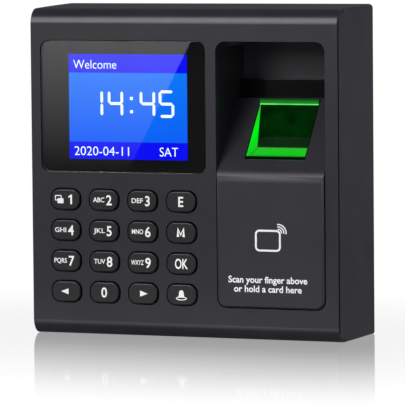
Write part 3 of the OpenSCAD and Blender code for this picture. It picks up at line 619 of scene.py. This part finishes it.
def make_triangle(key, turn):
    """A printed arrow head: turn is 1 for right and -1 for left."""
    place = Place(key)
    bm = bmesh.new()
    bmesh.ops.create_cone(bm, cap_ends=True, segments=3, radius1=1.6 * MM, radius2=1.6 * MM, depth=INK)
    point = math.radians(-90 * turn)
    spin = Matrix.Rotation(math.radians(90), 3, "X") @ Matrix.Rotation(point, 3, "Z")
    bmesh.ops.rotate(bm, verts=bm.verts, matrix=spin)
    bmesh.ops.scale(bm, verts=bm.verts, vec=(1.2, 1, 0.76))
    bmesh.ops.translate(bm, verts=bm.verts, vec=(place.centre.x, place.front - INK / 2, place.centre.z))
    add_piece(key + "_arrow", bm, white_print, key)


def make_bell(key):
    """A printed bell."""
    place = Place(key)
    x, z = place.centre.x, place.centre.z
    points = arc(x, z + 0.75 * MM, 0.85 * MM, 180, 0, 10) + [
        (x + 1.0 * MM, z - 0.3 * MM), (x + 1.35 * MM, z - 1.0 * MM),
        (x - 1.35 * MM, z - 1.0 * MM), (x - 1.0 * MM, z - 0.3 * MM)]
    flat_print(key + "_bell", points, place.front, white_print, key)
    rim = [(px, z - 1.3 * MM + (pz - z) * 0.26) for px, pz in arc(x, z, 1.9 * MM, 0, 345, 23)]
    outline(key + "_rim", rim, 0.34 * MM, place.front, white_print, key, closed=True)


def make_pages(key):
    """Two printed pages, one over the other, beside the digit."""
    place = Place(key)
    x, z = place.centre.x - 2.2 * MM, place.centre.z
    outline(key + "_page_back", round_box(x - 1.5 * MM, x + 0.7 * MM, z - 0.3 * MM, z + 1.3 * MM, 0.2 * MM),
            0.36 * MM, place.front, white_print, key, closed=True)
    page = round_box(x - 0.7 * MM, x + 1.6 * MM, z - 1.4 * MM, z + 0.35 * MM, 0.2 * MM)
    flat_print(key + "_page_front", page, place.front, white_print, key)


def make_keys():
    """The keys and what is printed on them."""
    for key, (small, big) in LEGENDS.items():
        make_key_print(key, small, big)
    make_pages("key_1")
    make_triangle("key_left", -1)
    make_triangle("key_right", 1)
    make_bell("key_bell")


# ---------------------------------------------------------------- print on the card panel

def make_panel_print():
    """The card sign and two lines of plain words."""
    front = insert.front
    shift = cover.right - DRAWN_HALF
    card_left, card_right = 27.5 * MM + shift, 36.4 * MM + shift
    card_low, card_high = 31.7 * MM, 38.6 * MM
    card_line, wave_line = 0.70 * MM, 0.44 * MM
    outline("sign_card", round_box(card_left, card_right, card_low, card_high, 1.3 * MM), card_line,
            front, white_print, closed=True)
    for i, radius in enumerate((1.2, 2.05, 2.9)):
        wave = arc(card_right - 0.6 * MM, card_high - 0.6 * MM, radius * MM, -8, 98)
        outline(f"sign_wave_{i}", wave, wave_line, front, white_print)
    middle = (insert.left + insert.right) / 2 - 0.9 * MM
    for name, words, z in (("words_upper", "Scan your finger above", 20.4 * MM),
                           ("words_lower", "or hold a card here", 17.2 * MM)):
        lettering(name, words, 2.2 * MM, middle, z, front, white_print, bold=0.03)


# ---------------------------------------------------------------- everything else keeps its CAD shape

FINISHES = {
    key_black: [*LEGENDS, "key_left", "key_right", "key_bell"],
    black_print: ["window_tape", "speaker_cone"],
    black_nylon: ["sensor_housing", "mainboard_chips", "sensor_camera_chips", "cell_holder", "power_socket",
                  "tamper_switch"],
    hood_black: ["sensor_lens", "display_panel"],
    white_nylon: ["display_backlight", "mainboard_connectors", "sensor_ribbon", "sensor_led_board",
                  "wiring_header"],
    red_nylon: ["tamper_plunger"],
    dark_rubber: ["keypad_mat"],
    green_board: ["mainboard", "antenna_board", "socket_board", "sensor_camera_board"],
    amber_print: ["display_flex"],
    copper_track: ["antenna_coil"],
    bare_can: ["mainboard_capacitors", "coin_cell"],
    plated_steel: ["display_frame", "mainboard_screws", "insert_screws", "sensor_screws", "socket_screws",
                   "usb_socket", "speaker", "housing_screws", "lock_screw"],
    zinc_sheet: ["wall_plate"],
    lamp_green: ["sensor_leds"],
}


def finish_nodes():
    """Gives each CAD node that is shown its material."""
    for mat, nodes in FINISHES.items():
        for node in nodes:
            mesh = frame["nodes"][node].data
            mesh.materials.clear()
            mesh.materials.append(mat)


# ---------------------------------------------------------------- floor and light

def make_floor():
    """A pale polished floor whose shine dies away from the terminal."""
    bm = bmesh.new()
    bmesh.ops.create_grid(bm, x_segments=1, y_segments=1, size=20)
    bmesh.ops.translate(bm, verts=bm.verts, vec=(0, 0, -0.05 * MM))
    mesh = bpy.data.meshes.new("floor")
    bm.to_mesh(mesh)
    bm.free()
    floor = bpy.data.objects.new("floor", mesh)
    bpy.context.scene.collection.objects.link(floor)
    mat = bpy.data.materials.new("pale_floor")
    mat.use_nodes = True
    tree = mat.node_tree
    tree.nodes.clear()
    out = tree.nodes.new("ShaderNodeOutputMaterial")
    pale = tree.nodes.new("ShaderNodeEmission")
    shine = tree.nodes.new("ShaderNodeBsdfGlossy")
    shine.inputs["Roughness"].default_value = 0.05
    # the floor is white to the eye, but lights the terminal only a little
    path = tree.nodes.new("ShaderNodeLightPath")
    dull = remap(tree, path.outputs["Is Diffuse Ray"], 0.0, 1.0, FLOOR_SHINE, FLOOR_LIGHT)
    level = remap(tree, path.outputs["Is Camera Ray"], 0.0, 1.0, 0.0, FLOOR_SEEN)
    tree.links.new(dull, level.node.inputs["To Min"])
    tree.links.new(level, pale.inputs["Strength"])
    # distance from the terminal's footprint
    coords = tree.nodes.new("ShaderNodeTexCoord").outputs["Object"]
    folded = tree.nodes.new("ShaderNodeVectorMath")
    folded.operation = "ABSOLUTE"
    tree.links.new(coords, folded.inputs[0])
    outside = tree.nodes.new("ShaderNodeVectorMath")
    outside.operation = "SUBTRACT"
    outside.inputs[1].default_value = (cover.right, insert.back, 0)
    tree.links.new(folded.outputs["Vector"], outside.inputs[0])
    kept = tree.nodes.new("ShaderNodeVectorMath")
    kept.operation = "MAXIMUM"
    tree.links.new(outside.outputs["Vector"], kept.inputs[0])
    away = tree.nodes.new("ShaderNodeVectorMath")
    away.operation = "LENGTH"
    tree.links.new(kept.outputs["Vector"], away.inputs[0])
    fade = remap(tree, away.outputs["Value"], 0.0, SHINE_REACH, 0.70, 0.0)
    fade.node.interpolation_type = "SMOOTHSTEP"
    # polish shows at a low glance and hardly at all from above
    facing = tree.nodes.new("ShaderNodeLayerWeight")
    facing.inputs["Blend"].default_value = 0.5
    grazing = remap(tree, facing.outputs["Facing"], 0.35, 0.92)
    polish = tree.nodes.new("ShaderNodeMath")
    polish.operation = "MULTIPLY"
    tree.links.new(fade, polish.inputs[0])
    tree.links.new(grazing, polish.inputs[1])
    mix = tree.nodes.new("ShaderNodeMixShader")
    tree.links.new(polish.outputs["Value"], mix.inputs["Fac"])
    tree.links.new(pale.outputs["Emission"], mix.inputs[1])
    tree.links.new(shine.outputs["BSDF"], mix.inputs[2])
    tree.links.new(mix.outputs["Shader"], out.inputs["Surface"])
    mesh.materials.append(mat)


def card(name, corners, low, high):
    """A glowing card that is only seen in reflections; its light rises from low to high along Z."""
    mesh = bpy.data.meshes.new(name)
    bm = bmesh.new()
    bm.faces.new([bm.verts.new(corner) for corner in corners])
    bm.to_mesh(mesh)
    bm.free()
    sheet = bpy.data.objects.new(name, mesh)
    bpy.context.scene.collection.objects.link(sheet)
    levels = sorted(corner[2] for corner in corners)
    mat = bpy.data.materials.new(name)
    mat.use_nodes = True
    tree = mat.node_tree
    tree.nodes.clear()
    out = tree.nodes.new("ShaderNodeOutputMaterial")
    glow = tree.nodes.new("ShaderNodeEmission")
    coords = tree.nodes.new("ShaderNodeTexCoord").outputs["Object"]
    split = tree.nodes.new("ShaderNodeSeparateXYZ")
    tree.links.new(coords, split.inputs["Vector"])
    tree.links.new(remap(tree, split.outputs["Z"], levels[0], levels[-1], low, high),
                   glow.inputs["Strength"])
    tree.links.new(glow.outputs["Emission"], out.inputs["Surface"])
    mesh.materials.append(mat)
    sheet.visible_camera = False
    sheet.visible_diffuse = False
    sheet.visible_shadow = False


def softbox(name, place, aim, width, height, power):
    """A large soft lamp."""
    data = bpy.data.lights.new(name, "AREA")
    data.shape = "RECTANGLE"
    data.size = width
    data.size_y = height
    data.energy = power
    lamp = bpy.data.objects.new(name, data)
    lamp.location = place
    lamp.rotation_euler = (Vector(aim) - Vector(place)).to_track_quat("-Z", "Y").to_euler()
    bpy.context.scene.collection.objects.link(lamp)


def make_light():
    """A white room for the eye, a dimmer one for the object, and three softboxes."""
    world = bpy.data.worlds.new("studio")
    bpy.context.scene.world = world
    world.use_nodes = True
    tree = world.node_tree
    tree.nodes.clear()
    out = tree.nodes.new("ShaderNodeOutputWorld")
    seen = tree.nodes.new("ShaderNodeBackground")
    seen.inputs["Color"].default_value = (1, 1, 1, 1)
    seen.inputs["Strength"].default_value = 1.0
    lit = tree.nodes.new("ShaderNodeBackground")
    lit.inputs["Color"].default_value = (0.93, 0.95, 1.0, 1)
    lit.inputs["Strength"].default_value = ROOM_LIGHT
    path = tree.nodes.new("ShaderNodeLightPath")
    mix = tree.nodes.new("ShaderNodeMixShader")
    tree.links.new(path.outputs["Is Camera Ray"], mix.inputs["Fac"])
    tree.links.new(lit.outputs["Background"], mix.inputs[1])
    tree.links.new(seen.outputs["Background"], mix.inputs[2])
    tree.links.new(mix.outputs["Shader"], out.inputs["Surface"])
    softbox("key_light", (-0.534, -1.322, 0.806), (0, 0, 0.08), 0.75, 1.05, 14.2)
    softbox("fill_light", (0.7, -1.5, 0.5), (0, 0, 0.05), 1.2, 0.6, 2.2)
    softbox("side_light", (1.8, 0.2, 0.6), (0, 0, 0.05), 0.8, 0.8, 24)
    # the first card puts a slanting glare in the window, the second whitens the floor's reflection
    card("window_glare", [(-0.42, -0.70, 0.002), (-0.314, -0.70, 0.002),
                          (-0.262, -0.70, 0.10), (-0.42, -0.70, 0.10)], 0.0, 1.8)
    card("backdrop", [(-0.6, 0.45, 0.0), (0.12, 0.45, 0.0),
                      (0.12, 0.45, 0.10), (-0.6, 0.45, 0.10)], 1.05, 1.05)


# ---------------------------------------------------------------- put it together

make_camera()
make_case()
make_prism()
make_display()
make_keys()
make_panel_print()
finish_nodes()
make_floor()
make_light()
bpy.context.scene.view_settings.view_transform = "Standard"
